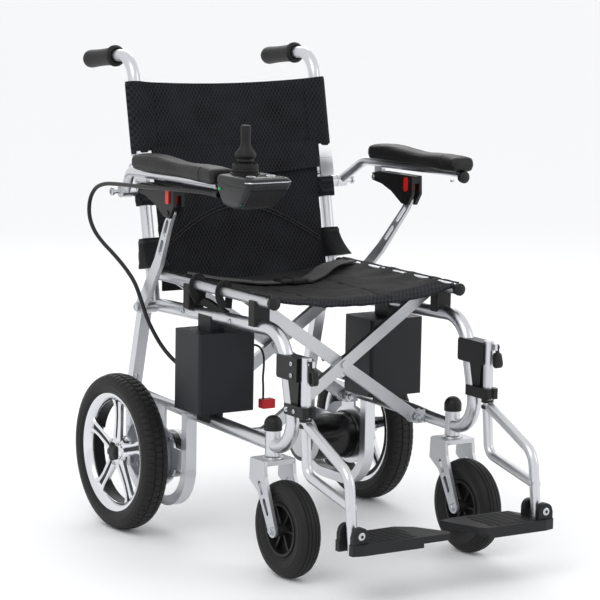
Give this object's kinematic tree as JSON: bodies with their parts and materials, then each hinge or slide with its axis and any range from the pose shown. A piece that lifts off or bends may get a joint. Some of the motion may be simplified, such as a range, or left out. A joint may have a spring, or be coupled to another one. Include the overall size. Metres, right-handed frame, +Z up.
{
  "type": "power wheelchair",
  "caption": "Folding power wheelchair with side motors, swivelling front casters, swing-away leg rests, lift-up armrests and a joystick controller.",
  "frame": {"origin": "middle of the base on the ground", "axes": "+Z up, -Y towards the occupant's front, +X towards the occupant's left"},
  "size_m": [0.665, 1.0539, 0.9765],
  "materials": {
    "frame_silver": "satin anodised tube",
    "brace_silver": "satin, fine texture",
    "cast_silver": "bead-blasted casting",
    "gearcase_silver": "painted casting",
    "motor_black": "satin black",
    "rim_silver": "polished",
    "tyre_black": "moulded tread",
    "hub_black": "matte",
    "battery_case": "fine spark texture",
    "bracket_black": "matte black",
    "plate_black": "matte with tread",
    "grip_rubber": "soft rubber",
    "mesh_fabric": "black spacer mesh",
    "seat_nylon": "black nylon",
    "pad_leather": "black padded",
    "controller_shell": "dark grey moulding",
    "board_green": "circuit board",
    "gimbal_grey": "matte",
    "stick_rubber": "soft rubber",
    "button_red": "glossy",
    "key_grey": "matte key",
    "cable_black": "satin jacket",
    "plug_red": "moulded connector",
    "lever_black": "satin black"
  },
  "bodies": {
    "frame_right": {"frame_right": "frame_silver", "motor_right": "motor_black", "gearcase_right": "gearcase_silver", "battery_right": "battery_case", "saddles_right": "hub_black", "hanger_bracket_right": "bracket_black", "stem_cap_right": "hub_black", "back_fabric_lower": "mesh_fabric", "control_cable": "cable_black", "battery_lead": "cable_black", "battery_plug": "plug_red"},
    "frame_left": {"frame_left": "frame_silver", "motor_left": "motor_black", "gearcase_left": "gearcase_silver", "battery_left": "battery_case", "saddles_left": "hub_black", "hanger_bracket_left": "bracket_black", "stem_cap_left": "hub_black"},
    "brace_a": {"brace_a": "brace_silver", "seat_fabric": "seat_nylon"},
    "brace_b": {"brace_b": "brace_silver"},
    "back_left": {"handle_tube_left": "frame_silver", "grip_left": "grip_rubber"},
    "back_lever_left": {"back_lever_left": "lever_black"},
    "armrest_left": {"armrest_tube_left": "frame_silver", "armrest_pad_left": "pad_leather"},
    "armrest_bracket_left": {"armrest_bracket_left": "bracket_black"},
    "armrest_button_left": {"armrest_button_left": "button_red"},
    "armrest_link_left": {"armrest_link_left": "cast_silver"},
    "caster_left": {"caster_fork_left": "cast_silver"},
    "caster_wheel_left": {"caster_tyre_left": "tyre_black", "caster_hub_left": "hub_black"},
    "rear_wheel_left": {"rear_tyre_left": "tyre_black", "rear_rim_left": "rim_silver"},
    "hanger_left": {"hanger_left": "frame_silver"},
    "footplate_left": {"footplate_left": "plate_black"},
    "hanger_lever_left": {"hanger_lever_left": "lever_black"},
    "back_right": {"handle_tube_right": "frame_silver", "grip_right": "grip_rubber", "back_fabric_upper": "mesh_fabric"},
    "back_lever_right": {"back_lever_right": "lever_black"},
    "armrest_right": {"armrest_tube_right": "frame_silver", "armrest_pad_right": "pad_leather", "controller_housing": "controller_shell", "circuit_board": "board_green"},
    "armrest_bracket_right": {"armrest_bracket_right": "bracket_black"},
    "armrest_button_right": {"armrest_button_right": "button_red"},
    "armrest_link_right": {"armrest_link_right": "cast_silver"},
    "caster_right": {"caster_fork_right": "cast_silver"},
    "caster_wheel_right": {"caster_tyre_right": "tyre_black", "caster_hub_right": "hub_black"},
    "rear_wheel_right": {"rear_tyre_right": "tyre_black", "rear_rim_right": "rim_silver"},
    "hanger_right": {"hanger_right": "frame_silver"},
    "footplate_right": {"footplate_right": "plate_black"},
    "hanger_lever_right": {"hanger_lever_right": "lever_black"},
    "gimbal": {"gimbal": "gimbal_grey"},
    "joystick": {"joystick": "stick_rubber"},
    "power_button": {"power_button": "key_grey"},
    "horn_button": {"horn_button": "key_grey"}
  },
  "joints": [
    {"name": "fold", "type": "hinge", "parent": "frame_right", "child": "brace_a", "pos_m": [-0.184, -0.023, 0.25], "axis": [0, -1, 0], "range_deg": [0, 36], "deforming": ["seat_fabric", "back_fabric_lower", "back_fabric_upper"]},
    {"name": "brace_cross", "type": "hinge", "parent": "brace_a", "child": "brace_b", "pos_m": [0, -0.023, 0.37411], "axis": [0, -1, 0], "range_deg": [-72, 0]},
    {"name": "brace_left", "type": "hinge", "parent": "brace_b", "child": "frame_left", "pos_m": [0.184, -0.023, 0.25], "axis": [0, -1, 0], "range_deg": [0, 36]},
    {"name": "back_fold_left", "type": "hinge", "parent": "frame_left", "child": "back_left", "pos_m": [0.22, 0.31284, 0.73113], "axis": [-1, 0, 0], "range_deg": [0, 100]},
    {"name": "back_lever_press_left", "type": "hinge", "parent": "back_left", "child": "back_lever_left", "pos_m": [0.22, 0.31989, 0.7552], "axis": [-1, 0, 0], "range_deg": [0, 25], "stiffness_Nm_per_rad": 0.3, "springref_deg": -11.46},
    {"name": "armrest_lift_left", "type": "hinge", "parent": "frame_left", "child": "armrest_left", "pos_m": [0.284, 0.287, 0.687], "axis": [-1, 0, 0], "range_deg": [0, 95]},
    {"name": "armrest_bracket_turn_left", "type": "hinge", "parent": "armrest_left", "child": "armrest_bracket_left", "pos_m": [0.284, 0.169, 0.706], "axis": [1, 0, 0], "range_deg": [0, 112]},
    {"name": "armrest_link_turn_left", "type": "hinge", "parent": "frame_left", "child": "armrest_link_left", "pos_m": [0.255, 0.235, 0.455], "axis": [-1, 0, 0], "range_deg": [0, 36.8]},
    {"name": "armrest_button_press_left", "type": "slide", "parent": "armrest_bracket_left", "child": "armrest_button_left", "axis": [-1, 0, 0], "range_m": [0, 0.003], "stiffness_N_per_m": 400, "springref_m": -0.001},
    {"name": "caster_swivel_left", "type": "hinge", "parent": "frame_left", "child": "caster_left", "pos_m": [0.212, -0.213, 0.25], "axis": [0, 0, 1], "continuous": true},
    {"name": "caster_roll_left", "type": "hinge", "parent": "caster_left", "child": "caster_wheel_left", "pos_m": [0.212, -0.271, 0.094], "axis": [1, 0, 0], "continuous": true},
    {"name": "rear_wheel_roll_left", "type": "hinge", "parent": "frame_left", "child": "rear_wheel_left", "pos_m": [0.2995, 0.23, 0.16], "axis": [1, 0, 0], "continuous": true},
    {"name": "hanger_swing_left", "type": "hinge", "parent": "frame_left", "child": "hanger_left", "pos_m": [0.212, -0.327, 0.38], "axis": [0, 0, 1], "range_deg": [0, 90]},
    {"name": "footplate_flip_left", "type": "hinge", "parent": "hanger_left", "child": "footplate_left", "pos_m": [0.212, -0.493, 0.133], "axis": [0, 1, 0], "range_deg": [0, 90]},
    {"name": "hanger_lever_lift_left", "type": "hinge", "parent": "hanger_left", "child": "hanger_lever_left", "pos_m": [0.212, -0.346, 0.424], "axis": [-1, 0, 0], "range_deg": [0, 30], "stiffness_Nm_per_rad": 0.3, "springref_deg": -11.46},
    {"name": "back_fold_right", "type": "hinge", "parent": "frame_right", "child": "back_right", "pos_m": [-0.22, 0.31284, 0.73113], "axis": [-1, 0, 0], "range_deg": [0, 100]},
    {"name": "back_lever_press_right", "type": "hinge", "parent": "back_right", "child": "back_lever_right", "pos_m": [-0.22, 0.31989, 0.7552], "axis": [-1, 0, 0], "range_deg": [0, 25], "stiffness_Nm_per_rad": 0.3, "springref_deg": -11.46},
    {"name": "armrest_lift_right", "type": "hinge", "parent": "frame_right", "child": "armrest_right", "pos_m": [-0.284, 0.287, 0.687], "axis": [-1, 0, 0], "range_deg": [0, 95], "deforming": ["control_cable"]},
    {"name": "armrest_bracket_turn_right", "type": "hinge", "parent": "armrest_right", "child": "armrest_bracket_right", "pos_m": [-0.284, 0.169, 0.706], "axis": [1, 0, 0], "range_deg": [0, 112]},
    {"name": "armrest_link_turn_right", "type": "hinge", "parent": "frame_right", "child": "armrest_link_right", "pos_m": [-0.255, 0.235, 0.455], "axis": [-1, 0, 0], "range_deg": [0, 36.8]},
    {"name": "armrest_button_press_right", "type": "slide", "parent": "armrest_bracket_right", "child": "armrest_button_right", "axis": [1, 0, 0], "range_m": [0, 0.003], "stiffness_N_per_m": 400, "springref_m": -0.001},
    {"name": "caster_swivel_right", "type": "hinge", "parent": "frame_right", "child": "caster_right", "pos_m": [-0.212, -0.213, 0.25], "axis": [0, 0, 1], "continuous": true},
    {"name": "caster_roll_right", "type": "hinge", "parent": "caster_right", "child": "caster_wheel_right", "pos_m": [-0.212, -0.271, 0.094], "axis": [1, 0, 0], "continuous": true},
    {"name": "rear_wheel_roll_right", "type": "hinge", "parent": "frame_right", "child": "rear_wheel_right", "pos_m": [-0.2995, 0.23, 0.16], "axis": [1, 0, 0], "continuous": true},
    {"name": "hanger_swing_right", "type": "hinge", "parent": "frame_right", "child": "hanger_right", "pos_m": [-0.212, -0.327, 0.38], "axis": [0, 0, -1], "range_deg": [0, 90]},
    {"name": "footplate_flip_right", "type": "hinge", "parent": "hanger_right", "child": "footplate_right", "pos_m": [-0.212, -0.493, 0.133], "axis": [0, -1, 0], "range_deg": [0, 90]},
    {"name": "hanger_lever_lift_right", "type": "hinge", "parent": "hanger_right", "child": "hanger_lever_right", "pos_m": [-0.212, -0.346, 0.424], "axis": [-1, 0, 0], "range_deg": [0, 30], "stiffness_Nm_per_rad": 0.3, "springref_deg": -11.46},
    {"name": "stick_fore_aft", "type": "hinge", "parent": "armrest_right", "child": "gimbal", "pos_m": [-0.2605, -0.176, 0.755], "axis": [1, 0, 0], "range_deg": [-15, 15], "stiffness_Nm_per_rad": 0.6},
    {"name": "stick_side", "type": "hinge", "parent": "gimbal", "child": "joystick", "pos_m": [-0.2605, -0.176, 0.755], "axis": [0, 1, 0], "range_deg": [-15, 15], "stiffness_Nm_per_rad": 0.6},
    {"name": "power_press", "type": "slide", "parent": "armrest_right", "child": "power_button", "axis": [0, 0, -1], "range_m": [0, 0.001], "stiffness_N_per_m": 500, "springref_m": -0.0006},
    {"name": "horn_press", "type": "slide", "parent": "armrest_right", "child": "horn_button", "axis": [0, 0, -1], "range_m": [0, 0.001], "stiffness_N_per_m": 500, "springref_m": -0.0006}
  ],
  "couplings": [
    {"joint": "brace_cross", "follows": "fold", "ratio": -2},
    {"joint": "brace_left", "follows": "fold", "ratio": 1},
    {"joint": "armrest_bracket_turn_left", "follows": "armrest_lift_left", "ratio": 1.178},
    {"joint": "armrest_link_turn_left", "follows": "armrest_lift_left", "ratio": 0.3863},
    {"joint": "footplate_flip_left", "follows": "fold", "ratio": 2.5},
    {"joint": "armrest_bracket_turn_right", "follows": "armrest_lift_right", "ratio": 1.178},
    {"joint": "armrest_link_turn_right", "follows": "armrest_lift_right", "ratio": 0.3863},
    {"joint": "footplate_flip_right", "follows": "fold", "ratio": 2.5},
    {"joint": "back_fold_left", "follows": "back_fold_right", "ratio": 1}
  ]
}
